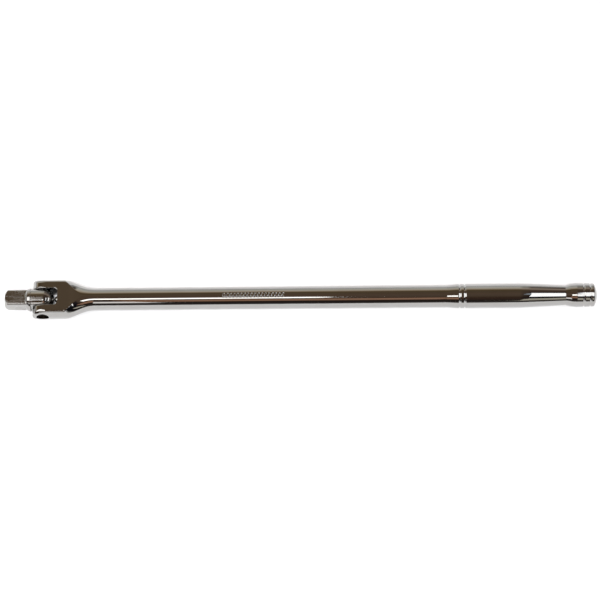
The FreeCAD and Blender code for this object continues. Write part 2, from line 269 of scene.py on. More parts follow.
def fork_shape(x, y, z):
    """Fork and neck with the slot, the pin's holes and the friction ball's bore."""
    rise = (SHANK_RADIUS - YOKE_HALF_THICKNESS) / (V_TIP - FLAT_RISE_START) ** 2
    along = np.clip(x - FLAT_RISE_START, 0, V_TIP - FLAT_RISE_START)
    beyond = np.maximum(x - V_TIP, 0)
    flat_height = YOKE_HALF_THICKNESS + rise * along**2 + 2 * rise * (V_TIP - FLAT_RISE_START) * beyond
    flat_height = flat_height - FLAT_CROWN * (y / YOKE_RADIUS) ** 4
    ears_and_flats = np.hypot(np.minimum(x - HINGE_X, 0), z) - flat_height
    edge_share = np.clip((x - NECK_START) / (V_START - NECK_START), 0, 1)
    ear_share = np.clip((EAR_ROUND_END - x) / (EAR_ROUND_END - EAR_ROUND_START), 0, 1)
    edge_round = FORK_EDGE_ROUND + (V_EDGE_ROUND - FORK_EDGE_ROUND) * edge_share
    edge_round = edge_round + (EAR_EDGE_ROUND - FORK_EDGE_ROUND) * ear_share
    body = meet(neck_blank(x, y, z), ears_and_flats, edge_round)
    slot = rounded_rectangle(x, y, SLOT_END, SLOT_HALF_WIDTH, SLOT_CORNER_RADIUS)
    body = meet(body, -slot, SLOT_RIM_ROUND + (EAR_RIM_ROUND - SLOT_RIM_ROUND) * ear_share)
    pin_hole = np.hypot(x - HINGE_X, z) - PIN_RADIUS
    body = meet(body, -pin_hole, PIN_HOLE_RIM_ROUND)
    bore = np.maximum(np.hypot(y, z) - FRICTION_BORE_RADIUS, np.maximum(x - FRICTION_BORE_END, HINGE_X - x))
    return meet(body, -bore, FRICTION_BORE_RIM_ROUND)


def head_shape(x, y, z):
    """Square, collar and tongue, with the hinge bore and the detent's blind bore."""
    away = np.hypot(y, z)
    square = rounded_rectangle(y, z, SQUARE_HALF, SQUARE_HALF, SQUARE_CORNER_RADIUS)
    square = meet(square, cone(x, away, 0, TIP_FACE_RADIUS, TIP_CHAMFER_SLOPE), TIP_CHAMFER_ROUND)
    square = meet(meet(square, -x, TIP_FACE_ROUND), x - COLLAR_START, SQUARE_END_ROUND)
    shoulder_slope = (COLLAR_RADIUS - SHOULDER_START_RADIUS) / (COLLAR_START - SHOULDER_START)
    shoulder = cone(x, away, SHOULDER_START, SHOULDER_START_RADIUS, shoulder_slope)
    collar_side = away - COLLAR_RADIUS + COLLAR_DRAFT * (COLLAR_END - x)
    collar = meet(shoulder, collar_side, COLLAR_SHOULDER_ROUND)
    collar = meet(collar, x - COLLAR_END, COLLAR_ROUND)
    knuckle = np.hypot(away, np.maximum(x - HINGE_X, 0)) - KNUCKLE_RADIUS
    tongue = meet(np.maximum(knuckle, COLLAR_START - x), np.abs(y) - TONGUE_HALF, TONGUE_EDGE_ROUND)
    body = join(join(square, collar, COLLAR_FILLET), tongue, TONGUE_FILLET)
    body = meet(body, HINGE_BORE_RADIUS - np.hypot(x - HINGE_X, z), HINGE_BORE_RIM_ROUND)
    from_detent = np.hypot(x - DETENT_X, z)
    lip_floor = SQUARE_HALF - DETENT_LIP_DEPTH - DETENT_LIP_OVERLAP
    lip = np.maximum(from_detent - DETENT_LIP_RADIUS, lip_floor - y)
    depth = np.maximum(SQUARE_HALF - DETENT_BORE_DEPTH - y, y - SQUARE_HALF + DETENT_LIP_DEPTH)
    body = meet(body, -lip, DETENT_LIP_ROUND)
    return meet(body, -np.maximum(from_detent - DETENT_BORE_RADIUS, depth), HIDDEN_ROUND)


# ---- meshes from shape functions -----------------------------------------------------------------
def slopes(shape, points):
    """Gradient of a shape function at the points."""
    found = np.empty_like(points)
    for axis in range(3):
        step = np.zeros(3)
        step[axis] = PROBE
        found[:, axis] = (shape(*(points + step).T) - shape(*(points - step).T)) / (2 * PROBE)
    return found


def onto_surface(shape, points, rounds=3):
    """Points moved along the slope of a shape function until they lie on its surface."""
    for _ in range(rounds):
        gradient = slopes(shape, points)
        squared = np.maximum((gradient**2).sum(1), 0.05)
        points = points - gradient * (shape(*points.T) / squared)[:, None]
    return points


def unit(vectors):
    """The vectors at length 1."""
    return vectors / np.maximum(np.linalg.norm(vectors, axis=1, keepdims=True), 1e-12)


def shape_mesh(shape, low, high, cell):
    """Points and quads of a shape's surface: one point in each grid cell it crosses, drawn onto it."""
    ticks = [np.arange(start, end + cell, cell) for start, end in zip(low, high)]
    value = shape(*np.meshgrid(*ticks, indexing="ij", sparse=True))
    cells = tuple(n - 1 for n in value.shape)
    total = np.zeros(cells + (3,))
    count = np.zeros(cells)
    crossings = []
    for axis in range(3):
        before = value[tuple(slice(None, -1) if k == axis else slice(None) for k in range(3))]
        after = value[tuple(slice(1, None) if k == axis else slice(None) for k in range(3))]
        places = np.argwhere((before < 0) != (after < 0))
        start, end = before[tuple(places.T)], after[tuple(places.T)]
        point = places.astype(float)
        point[:, axis] += start / (start - end)
        side_a, side_b = (axis + 1) % 3, (axis + 2) % 3
        around = []
        for back_a, back_b in ((0, 0), (1, 0), (1, 1), (0, 1)):
            owner = places.copy()
            owner[:, side_a] -= back_a
            owner[:, side_b] -= back_b
            around.append(owner)
        whole = np.all([((o >= 0) & (o < cells)).all(1) for o in around], axis=0)
        for owner in around:
            held = ((owner >= 0) & (owner < cells)).all(1)
            np.add.at(total, tuple(owner[held].T), point[held])
            np.add.at(count, tuple(owner[held].T), 1)
        crossings.append(([owner[whole] for owner in around], start[whole] < 0))
    number = np.full(cells, -1)
    filled = count > 0
    number[filled] = np.arange(filled.sum())
    points = np.array(low) + cell * total[filled] / count[filled][:, None]
    quads = []
    for around, inside_first in crossings:
        quad = np.stack([number[tuple(owner.T)] for owner in around], axis=1)
        quad[~inside_first] = quad[~inside_first][:, ::-1]
        quads.append(quad)
    quads = np.concatenate(quads)
    used = np.unique(quads)
    renumber = np.full(len(points), -1)
    renumber[used] = np.arange(len(used))
    points, quads = points[used], renumber[quads]
    points = onto_surface(shape, points)
    sides = np.concatenate([quads[:, [i, (i + 1) % 4]] for i in range(4)])
    rim = open_rim(quads)
    for _ in range(RELAXING_ROUNDS):
        mean = np.zeros_like(points)
        share = np.zeros(len(points))
        np.add.at(mean, sides[:, 0], points[sides[:, 1]])
        np.add.at(mean, sides[:, 1], points[sides[:, 0]])
        np.add.at(share, sides.ravel(), 1)
        moved = (points + mean / share[:, None]) / 2
        moved[rim] = points[rim]
        points = onto_surface(shape, moved, rounds=2)
    return points, quads


def open_rim(quads):
    """Points on the edges that only one face has."""
    sides = np.sort(np.concatenate([quads[:, [i, (i + 1) % 4]] for i in range(4)]), axis=1)
    sides, count = np.unique(sides, axis=0, return_counts=True)
    return np.unique(sides[count == 1])


# ---- turned outlines -----------------------------------------------------------------------------
def rounded_outline(corners, longest=LONGEST_RING_STEP):
    """Points (x, radius) and outward normals along the sides between corners (x, radius, rounding)."""
    places = [Vector((x, radius)) for x, radius, _ in corners]
    stops = [(places[0], (places[1] - places[0]).normalized())]
    for before, corner, after, (_, _, rounding) in zip(places, places[1:], places[2:], corners[1:]):
        ahead, onward = (corner - before).normalized(), (after - corner).normalized()
        turn = ahead.angle_signed(onward)
        reach = rounding * math.tan(abs(turn) / 2)
        count = max(2, math.ceil(abs(turn) / ARC_STEP))
        centre = corner - ahead * reach + Vector((ahead.y, -ahead.x)) * math.copysign(rounding, turn)
        for i in range(count + 1):
            spin = Matrix.Rotation(-turn * i / count, 2)
            stops.append((centre + spin @ (corner - ahead * reach - centre), spin @ ahead))
    stops.append((places[-1], (places[-1] - places[-2]).normalized()))
    points, normals = [], []
    for (place, heading), (following, _) in zip(stops, stops[1:] + stops[-1:]):
        gap = (following - place).length
        pieces = max(1, math.ceil(gap / longest))
        for i in range(pieces):
            points.append(place.lerp(following, i / pieces))
            normals.append(Vector((-heading.y, heading.x)))
    return np.array(points), np.array(normals)


def groove(x, radius, slope):
    """Corners of a turned groove in a side whose radius changes by slope per millimetre."""
    return [
        (x - GROOVE_HALF_WIDTH, radius - slope * GROOVE_HALF_WIDTH, GROOVE_LIP_ROUND),
        (x, radius - GROOVE_DEPTH, GROOVE_FLOOR_ROUND),
        (x + GROOVE_HALF_WIDTH, radius + slope * GROOVE_HALF_WIDTH, GROOVE_LIP_ROUND),
    ]


def bar_outline():
    """Shank, grip, knob and domed end, with close rings where the strokes are stamped."""
    corners = [
        (MARK_END + MARK_MARGIN, SHANK_RADIUS, 0),
        (GRIP_FLARE[0], SHANK_RADIUS, GRIP_FLARE_ROUND),
        (GRIP_FLARE[1], GRIP_RADIUS, GRIP_FLARE_ROUND),
    ]
    for x in GRIP_GROOVES:
        corners += groove(x, GRIP_RADIUS, 0)
    corners += [
        (TAPER_START, GRIP_RADIUS, TAPER_START_ROUND),
        (WAIST_X, WAIST_RADIUS, WAIST_ROUND),
        (KNOB_SHOULDER_X, KNOB_SHOULDER_RADIUS, KNOB_SHOULDER_ROUND),
        (KNOB_X, KNOB_RADIUS, KNOB_ROUND),
    ]
    rim_x = OVERALL_LENGTH - DOME_RADIUS + math.sqrt(DOME_RADIUS**2 - KNOB_RIM_RADIUS**2)
    slope = (KNOB_RIM_RADIUS - KNOB_RADIUS) / (rim_x - KNOB_X)
    for x in KNOB_GROOVES:
        corners += groove(x, KNOB_RADIUS + slope * (x - KNOB_X), slope)
    rim_lean = math.asin(KNOB_RIM_RADIUS / DOME_RADIUS)
    dome_lean = rim_lean - DOME_RIM_LEAN
    dome_x = OVERALL_LENGTH - DOME_RADIUS * (1 - math.cos(dome_lean))
    corners += [(rim_x, KNOB_RIM_RADIUS, KNOB_RIM_ROUND), (dome_x, DOME_RADIUS * math.sin(dome_lean), 0)]
    points, normals = rounded_outline(corners)
    plain_x = np.arange(NECK_END + GRID_MARGIN, MARK_START - MARK_MARGIN, LONGEST_RING_STEP)
    stamped_x = np.arange(MARK_START - MARK_MARGIN, MARK_END + MARK_MARGIN, MARK_RING_STEP)
    lead_x = np.concatenate([plain_x, stamped_x])
    lead = np.stack([lead_x, np.full(len(lead_x), SHANK_RADIUS)], axis=1)
    lead_normals = np.tile([0.0, 1.0], (len(lead_x), 1))
    leans = np.linspace(dome_lean, 0, DOME_RINGS + 2)[1:-1]
    dome_x = OVERALL_LENGTH - DOME_RADIUS * (1 - np.cos(leans))
    dome = np.stack([dome_x, DOME_RADIUS * np.sin(leans)], axis=1)
    dome_normals = np.stack([np.cos(leans), np.sin(leans)], axis=1)
    return np.concatenate([lead, points, dome]), np.concatenate([lead_normals, normals, dome_normals])


def stroke_depth(x, angle):
    """Depth of the stamped strokes at a place on the shank; angle is from +Y towards +Z."""
    across = (angle - math.pi / 2 - MARK_LEAN) * SHANK_RADIUS
    along = x - MARK_START + MARK_SLANT * across
    count = math.floor((MARK_END - MARK_START) / MARK_PITCH)
    nearest = np.clip(np.round(along / MARK_PITCH), 0, count) * MARK_PITCH
    beside = MARK_HALF_WIDTH - np.abs(along - nearest)
    above = MARK_HALF_HEIGHT - np.abs(across)
    share = np.clip(np.minimum(beside, above) / MARK_SOFTNESS + 0.5, 0, 1)
    return MARK_DEPTH * share * share * (3 - 2 * share)


def ring_quads(rings, segments):
    """Quads between rings of points that follow each other, with segments points to each ring."""
    ring = np.arange(rings - 1)[:, None] * segments
    here = np.arange(segments)[None, :]
    after = (here + 1) % segments
    quads = [ring + here, ring + after, ring + segments + after, ring + segments + here]
    return np.stack(quads, axis=-1).reshape(-1, 4)


def end_fans(rings, segments):
    """Triangles that close a tube's first and last ring, with the centres of both as two more points."""
    first_centre = rings * segments
    last = first_centre - segments
    fans = [((i + 1) % segments, i, first_centre) for i in range(segments)]
    return fans + [(last + i, last + (i + 1) % segments, first_centre + 1) for i in range(segments)]


def turned_mesh(points, normals, segments, depth=None):
    """Rings of points about the axis through an outline, sunk by a depth, with their normals and quads."""
    angle = np.arange(segments) * 2 * math.pi / segments
    x, angles = np.meshgrid(points[:, 0], angle, indexing="ij")
    radius = np.repeat(points[:, 1:], segments, axis=1)
    lean_x = np.repeat(normals[:, :1], segments, axis=1)
    lean_out = np.repeat(normals[:, 1:], segments, axis=1)
    turn = np.zeros_like(radius)
    if depth is not None:
        stamped = (x > MARK_START - MARK_MARGIN) & (x < MARK_END + MARK_MARGIN)
        radius = radius - np.where(stamped, depth(x, angles), 0)
        change_along = depth(x + PROBE, angles) - depth(x - PROBE, angles)
        change_round = depth(x, angles + PROBE) - depth(x, angles - PROBE)
        lean_x = lean_x + np.where(stamped, change_along, 0) / (2 * PROBE)
        turn = np.where(stamped, change_round, 0) / (2 * PROBE * SHANK_RADIUS)
    out_y, out_z = np.cos(angles), np.sin(angles)
    places = np.stack([x, radius * out_y, radius * out_z], axis=-1).reshape(-1, 3)
    lean_y = lean_out * out_y - turn * out_z
    lean_z = lean_out * out_z + turn * out_y
    directions = np.stack([lean_x, lean_y, lean_z], axis=-1)
    return places, unit(directions.reshape(-1, 3)), ring_quads(len(points), segments)


def zip_rims(first, second, first_angles, second_angles):
    """Triangles between two rims whose points are in order of angle, given as point numbers and angles."""
    triangles = []
    i = j = 0
    n, m = len(first), len(second)
    while i < n or j < m:
        next_i = first_angles[i + 1] if i + 1 < n else first_angles[0] + 2 * math.pi
        next_j = second_angles[j + 1] if j + 1 < m else second_angles[0] + 2 * math.pi
        if j == m or (i < n and next_i <= next_j):
            triangles.append((first[i % n], first[(i + 1) % n], second[j % m]))
            i += 1
        else:
            triangles.append((first[i % n], second[(j + 1) % m], second[j % m]))
            j += 1
    return triangles


# ---- Blender objects -----------------------------------------------------------------------------
def sharpness(points, normals, faces):
    """How convex the surface is at each point, in 1/mm: high on outside edges, negative in corners."""
    sides = np.array([(face[i], face[(i + 1) % len(face)]) for face in faces for i in range(len(face))])
    apart = points[sides[:, 0]] - points[sides[:, 1]]
    turned = normals[sides[:, 0]] - normals[sides[:, 1]]
    bend = (turned * apart).sum(1) / np.maximum((apart**2).sum(1), 1e-9)
    total = np.zeros(len(points))
    count = np.zeros(len(points))
    for end in range(2):
        np.add.at(total, sides[:, end], bend)
        np.add.at(count, sides[:, end], 1)
    return total / np.maximum(count, 1)


def make_piece(name, points, normals, faces, material, satin=None, painted_hole_shade=None):
    """A mesh object with exact normals. Attribute edge says how sharp it is, satin its finish, and the last
    one where shade is painted dark.
    """
    mesh = bpy.data.meshes.new(name)
    mesh.from_pydata(to_frame(points).tolist(), [], [list(map(int, face)) for face in faces])
    mesh.polygons.foreach_set("use_smooth", [True] * len(mesh.polygons))
    edge = sharpness(points, normals, faces)
    for label, values in (("edge", edge), ("satin", satin), ("painted_hole_shade", painted_hole_shade)):
        if values is not None:
            attribute = mesh.attributes.new(label, "FLOAT", "POINT")
            attribute.data.foreach_set("value", values.astype(np.float32))
    mesh.normals_split_custom_set_from_vertices(normals.tolist())
    mesh.materials.append(material)
    piece = bpy.data.objects.new(name, mesh)
    bpy.context.scene.collection.objects.link(piece)
    return piece


def make_bar(material):
    """Fork, neck, shank, grip and knob as one closed mesh.

    The fork and neck come from a shape function, and their mesh is open where the shank goes on. The rest is
    turned, and triangles join its first ring to that open rim.
    """
    half_width = YOKE_RADIUS + GRID_MARGIN
    half_height = SHANK_RADIUS + GRID_MARGIN
    low = (HINGE_X - YOKE_HALF_THICKNESS - GRID_MARGIN, -half_width, -half_height)
    high = (NECK_END, half_width, half_height)
    points, quads = shape_mesh(fork_shape, low, high, FORK_CELL)
    normals = unit(slopes(fork_shape, points))
    outline, outline_normals = bar_outline()
    turned, turned_normals, turned_quads = turned_mesh(outline, outline_normals, BAR_SEGMENTS, stroke_depth)

    rim = open_rim(quads)
    rim_angles = np.arctan2(points[rim, 2], points[rim, 1])
    order = np.argsort(rim_angles)
    rim, rim_angles = rim[order], rim_angles[order]
    ring = np.arange(BAR_SEGMENTS)
    ring_angles = (ring * 2 * math.pi / BAR_SEGMENTS + math.pi) % (2 * math.pi) - math.pi
    order = np.argsort(ring_angles)
    shift = len(points)
    triangles = zip_rims(rim, ring[order] + shift, rim_angles, ring_angles[order])

    pole = shift + len(turned)
    last = pole - BAR_SEGMENTS
    cap = [(last + i, last + (i + 1) % BAR_SEGMENTS, pole) for i in range(BAR_SEGMENTS)]
    points = np.concatenate([points, turned, [[OVERALL_LENGTH, 0, 0]]])
    normals = np.concatenate([normals, turned_normals, [[1, 0, 0]]])
    faces = quads.tolist() + (turned_quads + shift).tolist() + triangles + cap
    # shade is painted dark on the walls of the pin's holes
    in_pin_hole = np.hypot(points[:, 0] - HINGE_X, points[:, 2]) < PIN_RADIUS + PIN_HOLE_MARGIN
    return make_piece("bar", points, normals, faces, material, painted_hole_shade=in_pin_hole)


def make_head(material):
    """Square, collar and tongue as one closed mesh, with satin flats on the square."""
    half_width = COLLAR_RADIUS + GRID_MARGIN
    low = (-GRID_MARGIN, -half_width, -half_width)
    high = (HINGE_X + KNUCKLE_RADIUS + GRID_MARGIN, half_width, half_width)
    points, quads = shape_mesh(head_shape, low, high, HEAD_CELL)
    normals = unit(slopes(head_shape, points))
    on_square = np.clip((COLLAR_START - SATIN_END - points[:, 0]) / SATIN_FADE, 0, 1)
    on_flat = np.clip((np.abs(normals[:, 1:]).max(1) - FLAT_FACING) / FLAT_FACING_FADE, 0, 1)
    return make_piece("head", points, normals, quads.tolist(), material, satin=on_square * on_flat)


def make_pin(material):
    """Ground pin with chamfered ends and a small centre-drilled dimple in each."""
    dimple_x = PIN_HALF_LENGTH - PIN_DIMPLE_DEPTH
    half_outline = [
        (-dimple_x, PIN_DIMPLE_TIP_RADIUS, 0),
        (-PIN_HALF_LENGTH, PIN_DIMPLE_RADIUS, PIN_DIMPLE_RIM_ROUND),
        (-PIN_HALF_LENGTH, PIN_RADIUS - PIN_CHAMFER, PIN_CHAMFER_ROUND),
        (-PIN_HALF_LENGTH + PIN_CHAMFER, PIN_RADIUS, PIN_CHAMFER_ROUND),
    ]
    corners = half_outline + [(-x, radius, rounding) for x, radius, rounding in reversed(half_outline)]
    outline, outline_normals = rounded_outline(corners, longest=PIN_RING_STEP)
    points, normals, quads = turned_mesh(outline, outline_normals, PIN_SEGMENTS)
    points = np.concatenate([points, [[-dimple_x, 0, 0], [dimple_x, 0, 0]]])
    normals = np.concatenate([normals, [[-1, 0, 0], [1, 0, 0]]])
    across = np.array([[0, 1, 0], [-1, 0, 0], [0, 0, 1]], float)
    points, normals = points @ across, normals @ across
    faces = quads.tolist() + end_fans(len(outline), PIN_SEGMENTS)
    return make_piece("pin", points + [HINGE_X, 0, 0], normals, faces, material)


def make_spring(name, node_name, turns, wire, material):
    """Compression coil in the box of the CAD spring that it stands for, wound about the box's long side."""
    low, high = ((np.array(corner) - [TIP_X, 0, AXIS_Z]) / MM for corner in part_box(node_name))
    size = high - low
    along = int(size.argmax())
    across = [(along + 1) % 3, (along + 2) % 3]
    turn = np.linspace(0, 2 * math.pi * turns, turns * COIL_STEPS + 1)
    outward = np.zeros((len(turn), 3))
    outward[:, across[0]] = np.cos(turn)
    outward[:, across[1]] = np.sin(turn)
    line = (low + high) / 2 + outward * (size[across].min() - wire) / 2
    line[:, along] = np.linspace(low[along] + wire / 2, high[along] - wire / 2, len(turn))
    heading = unit(np.gradient(line, axis=0))
    upward = np.cross(heading, outward)
    angle = (np.arange(WIRE_SEGMENTS) * 2 * math.pi / WIRE_SEGMENTS)[None, :, None]
    normals = np.cos(angle) * outward[:, None] + np.sin(angle) * upward[:, None]
    points = (line[:, None] + normals * wire / 2).reshape(-1, 3)
    points = np.concatenate([points, line[[0, -1]]])
    normals = np.concatenate([normals.reshape(-1, 3), [-heading[0], heading[-1]]])
    faces = ring_quads(len(line), WIRE_SEGMENTS).tolist() + end_fans(len(line), WIRE_SEGMENTS)
    return make_piece(name, points, normals, faces, material)


# ---- materials -----------------------------------------------------------------------------------
PAINTED_HOLE_SHADE = (0.07, 0.055, 0.045)      # painted shade: a dark colour on the walls of the pin's holes
PAPER_COLORS = ((0.80, 0.805, 0.82), (0.83, 0.835, 0.85))
PAPER_ROUGHNESS = 0.9
PAPER_SCALE = 40               # scales of noise are in cells to a metre
PATCH_SCALE = 55               # hazy patches
BLOTCH_SCALE = 400             # worn spots along the edges
WAVE_SCALE = 70                # slow waves that polishing leaves
SCUFF_SCALES = (900, 90, 90)   # polishing lines round the bar
BRUSH_SCALES = (60, 500, 60)   # brushed lines along the square's flats
BLOTCH_RANGE = (0.45, 0.65)    # the noise at which an effect begins and is full, for each effect
MOTTLE_RANGE = (0.35, 0.75)
HAZE_RANGE = (0.4, 0.7)
SCUFF_RANGE = (0.55, 0.8)
BRUSH_RANGE = (0.35, 0.65)
WEAR_SHARPNESS = (0.5, 2.5)    # edges begin to wear at the first sharpness and are worn at the second
MOST_MOTTLE = 0.35             # share of the worn colour in the hazy patches
WORN_ROUGHNESS = 0.12
SATIN_ROUGHNESS = (0.03, 0.20)
METALS = {       # colour, worn colour, roughness, haze, and heights in metres of polishing lines and waves
    "chrome_plate": ((0.43, 0.43, 0.425), (0.37, 0.36, 0.34), 0.03, 0.03, 1.2e-6, 5e-6),
    "chrome_head": ((0.43, 0.43, 0.42), (0.36, 0.35, 0.33), 0.09, 0.09, 2.5e-6, 5e-6),
    "ground_pin": ((0.44, 0.44, 0.45), (0.30, 0.29, 0.28), 0.22, 0.10, 2.5e-6, 2e-6),
    "polished_ball": ((0.60, 0.60, 0.61), (0.50, 0.49, 0.47), 0.05, 0.04, 0.8e-6, 1e-6),
    "spring_wire": ((0.30, 0.30, 0.31), (0.20, 0.19, 0.18), 0.28, 0.12, 3e-6, 2e-6),
}


def node(tree, kind, **settings):
    """A new node of a tree with its settings."""
    made = tree.nodes.new(kind)
    for key, value in settings.items():
        setattr(made, key, value)
    return made


def noise(tree, coordinates, scale, detail):
    """Noise from 0 to 1 over the coordinates."""
    made = node(tree, "ShaderNodeTexNoise")
    made.inputs["Scale"].default_value = scale
    made.inputs["Detail"].default_value = detail
    tree.links.new(coordinates, made.inputs["Vector"])
    return made.outputs["Fac"]


def remap(tree, value, low, high, to_low, to_high):
    """A value's range from low to high taken to another range, and held at its ends."""
    made = node(tree, "ShaderNodeMapRange")
    for name, number in (("From Min", low), ("From Max", high), ("To Min", to_low), ("To Max", to_high)):
        made.inputs[name].default_value = number
    tree.links.new(value, made.inputs["Value"])
    return made.outputs["Result"]


def combine(tree, operation, a, b):
    """Two values added, multiplied, divided or compared."""
    made = node(tree, "ShaderNodeMath", operation=operation)
    tree.links.new(a, made.inputs[0])
    tree.links.new(b, made.inputs[1])
    return made.outputs[0]


def stretched(tree, coordinates, scales):
    """Coordinates multiplied along each axis."""
    made = node(tree, "ShaderNodeMapping")
    made.inputs["Scale"].default_value = scales
    tree.links.new(coordinates, made.inputs["Vector"])
    return made.outputs["Vector"]


def mixed(tree, share, first, second):
    """The first colour where share is 0 and the second where it is 1."""
    made = node(tree, "ShaderNodeMix", data_type="RGBA")
    tree.links.new(share, made.inputs["Factor"])
    for socket, color in (("A", first), ("B", second)):
        if isinstance(color, tuple):
            made.inputs[socket].default_value = (*color, 1)
        else:
            tree.links.new(color, made.inputs[socket])
    return made.outputs["Result"]


def metal(name):
    """Plated or ground steel: a clear base, hazy patches, polishing lines, soft waves, worn edges and
    painted shade in holes.
    """
    color, worn_color, roughness, haze, polish_lines, waviness = METALS[name]
    material = bpy.data.materials.new(name)
    material.use_nodes = True
    tree = material.node_tree
    surface = tree.nodes["Principled BSDF"]
    surface.inputs["Metallic"].default_value = 1.0
    place = node(tree, "ShaderNodeTexCoord").outputs["Object"]
    edge, satin, painted_hole_shade = (
        node(tree, "ShaderNodeAttribute", attribute_name=label).outputs["Fac"]
        for label in ("edge", "satin", "painted_hole_shade")
    )
    patches = noise(tree, place, PATCH_SCALE, 4)
    scuffs = noise(tree, stretched(tree, place, SCUFF_SCALES), 1.0, 2)
    brushes = noise(tree, stretched(tree, place, BRUSH_SCALES), 1.0, 3)

    blotches = remap(tree, noise(tree, place, BLOTCH_SCALE, 2), *BLOTCH_RANGE, 0, 1)
    worn = combine(tree, "MULTIPLY", remap(tree, edge, *WEAR_SHARPNESS, 0, 1), blotches)
    mottle = remap(tree, patches, *MOTTLE_RANGE, 0, MOST_MOTTLE)
    tint = mixed(tree, combine(tree, "MAXIMUM", worn, mottle), color, worn_color)
    # painted shade: the colour turns dark where the mesh marks the pin's holes
    tree.links.new(mixed(tree, painted_hole_shade, tint, PAINTED_HOLE_SHADE), surface.inputs["Base Color"])

    dull = remap(tree, patches, *HAZE_RANGE, roughness, roughness + haze)
    dull = combine(tree, "ADD", dull, remap(tree, scuffs, *SCUFF_RANGE, 0, haze))
    dull = combine(tree, "ADD", dull, remap(tree, worn, 0, 1, 0, WORN_ROUGHNESS))
    brushed = remap(tree, brushes, *BRUSH_RANGE, *SATIN_ROUGHNESS)
    dull = combine(tree, "ADD", dull, combine(tree, "MULTIPLY", satin, brushed))
    tree.links.new(dull, surface.inputs["Roughness"])

    lines = node(tree, "ShaderNodeBump")
    lines.inputs["Distance"].default_value = polish_lines
    tree.links.new(scuffs, lines.inputs["Height"])
    waves = node(tree, "ShaderNodeBump")
    waves.inputs["Distance"].default_value = waviness
    tree.links.new(noise(tree, place, WAVE_SCALE, 1), waves.inputs["Height"])
    tree.links.new(lines.outputs["Normal"], waves.inputs["Normal"])
    tree.links.new(waves.outputs["Normal"], surface.inputs["Normal"])
    return material


def floor_material():
    """Pale matt paper."""
    material = bpy.data.materials.new("pale_paper")
    material.use_nodes = True
    tree = material.node_tree
    surface = tree.nodes["Principled BSDF"]
    place = node(tree, "ShaderNodeTexCoord").outputs["Object"]
    shade = mixed(tree, noise(tree, place, PAPER_SCALE, 3), *PAPER_COLORS)
    tree.links.new(shade, surface.inputs["Base Color"])
    surface.inputs["Roughness"].default_value = PAPER_ROUGHNESS
    surface.inputs["Specular IOR Level"].default_value = 0.0
    return material


# ---- stage ---------------------------------------------------------------------------------------
FLOOR_RADIUS = 12.0
FLOOR_SIDES = 96
CAMERA_DISTANCE = 1.85
CAMERA_ELEVATION = math.radians(68.4)
CAMERA_ROLL = math.radians(0.51)
CAMERA_REACH = 100.0           # how far it sees
FRAME_WIDTH = 0.4667           # what the frame spans at the bar's distance
SENSOR_WIDTH = 36.0
AIM_X = -0.0008
AIM_DROP = 0.0019              # the bar lies this far above the middle of the frame
PAPER_LAMP_HEIGHT = 5.6
PAPER_LAMP_LEAN = math.radians(22)
PAPER_LAMP_SIZE = 1.2
PAPER_LAMP_POWER = 365.0
ROOM_BANDS = [                 # degrees from overhead, negative beyond the bar, and the colour there
    (-90, (0.85, 0.84, 0.82)),
    (-72, (0.86, 0.86, 0.80)),
    (-58, (0.80, 0.72, 0.61)),
    (-46, (0.52, 0.41, 0.28)),
    (-37, (0.18, 0.125, 0.068)),
    (-31, (0.165, 0.11, 0.056)),
    (-21, (0.180, 0.128, 0.082)),
    (-10, (0.165, 0.11, 0.068)),
    (10, (0.175, 0.118, 0.082)),
    (28, (0.15, 0.10, 0.064)),
    (34, (0.09, 0.052, 0.035)),
    (56, (0.06, 0.035, 0.025)),
    (64, (0.028, 0.022, 0.018)),
    (78, (0.05, 0.043, 0.040)),
    (87, (0.12, 0.11, 0.10)),
    (90, (0.25, 0.24, 0.22)),
]
KNOB_END_BANDS = [             # the same for what lies beyond the knob's end
    (-90, (0.80, 0.80, 0.78)),
    (-80, (0.50, 0.48, 0.45)),
    (-71, (0.19, 0.15, 0.13)),
    (-62, (0.16, 0.12, 0.10)),
    (-54, (0.46, 0.37, 0.30)),
    (-43, (0.46, 0.36, 0.29)),
    (-34, (0.15, 0.10, 0.07)),
    (-8, (0.08, 0.055, 0.045)),
    (32, (0.012, 0.012, 0.016)),
    (76, (0.012, 0.012, 0.013)),
    (83, (0.12, 0.10, 0.08)),
    (90, (0.20, 0.19, 0.17)),
]
BANDS_MEET = (0.09, 0.18)      # where a direction's x takes it from the room's bands to the knob end's
HORIZON_RISE = (0.16, 0.24)    # the pale horizon is below the first rise and gone above the second
HORIZON_COLOR = (0.50, 0.50, 0.49)
CLUTTER_SCALE = 3.0
CLUTTER_RANGE = (0.35, 0.65)
DARKEST_CLUTTER = 0.70         # the room is unevenly dimmed to this share
WINDOWS = [                    # name, from and to along x, leans, height, radiance, colour
    ("ceiling_strip", (-0.76, 0.095), (15, 26), 6.0, 3.2, (1.0, 0.99, 0.97)),
    ("far_strip", (-1.2, -0.27), (48, 64), 1.3, 1.3, (1.0, 0.96, 0.93)),
    ("warm_strip", (-0.27, 0.235), (34, 52), 1.3, 0.40, (1.0, 0.56, 0.36)),
    ("drive_end_box", (-2.0, -0.345), (-10, 28), 1.0, 2.4, (1.0, 1.0, 1.0)),
    ("knob_end_box", (0.37, 0.52), (-3, 33), 1.0, 2.4, (1.0, 1.0, 1.0)),
    ("corner_box", (1.3, 2.3), (-18, 38), 1.0, 2.4, (1.0, 1.0, 1.0)),
    ("knob_end_spill", (0.318, 0.37), (0, 14), 1.0, 0.45, (0.70, 0.85, 1.0)),
    ("knob_end_strip", (0.50, 1.0), (51, 71), 1.3, 0.62, (1.0, 0.92, 0.76)),
]


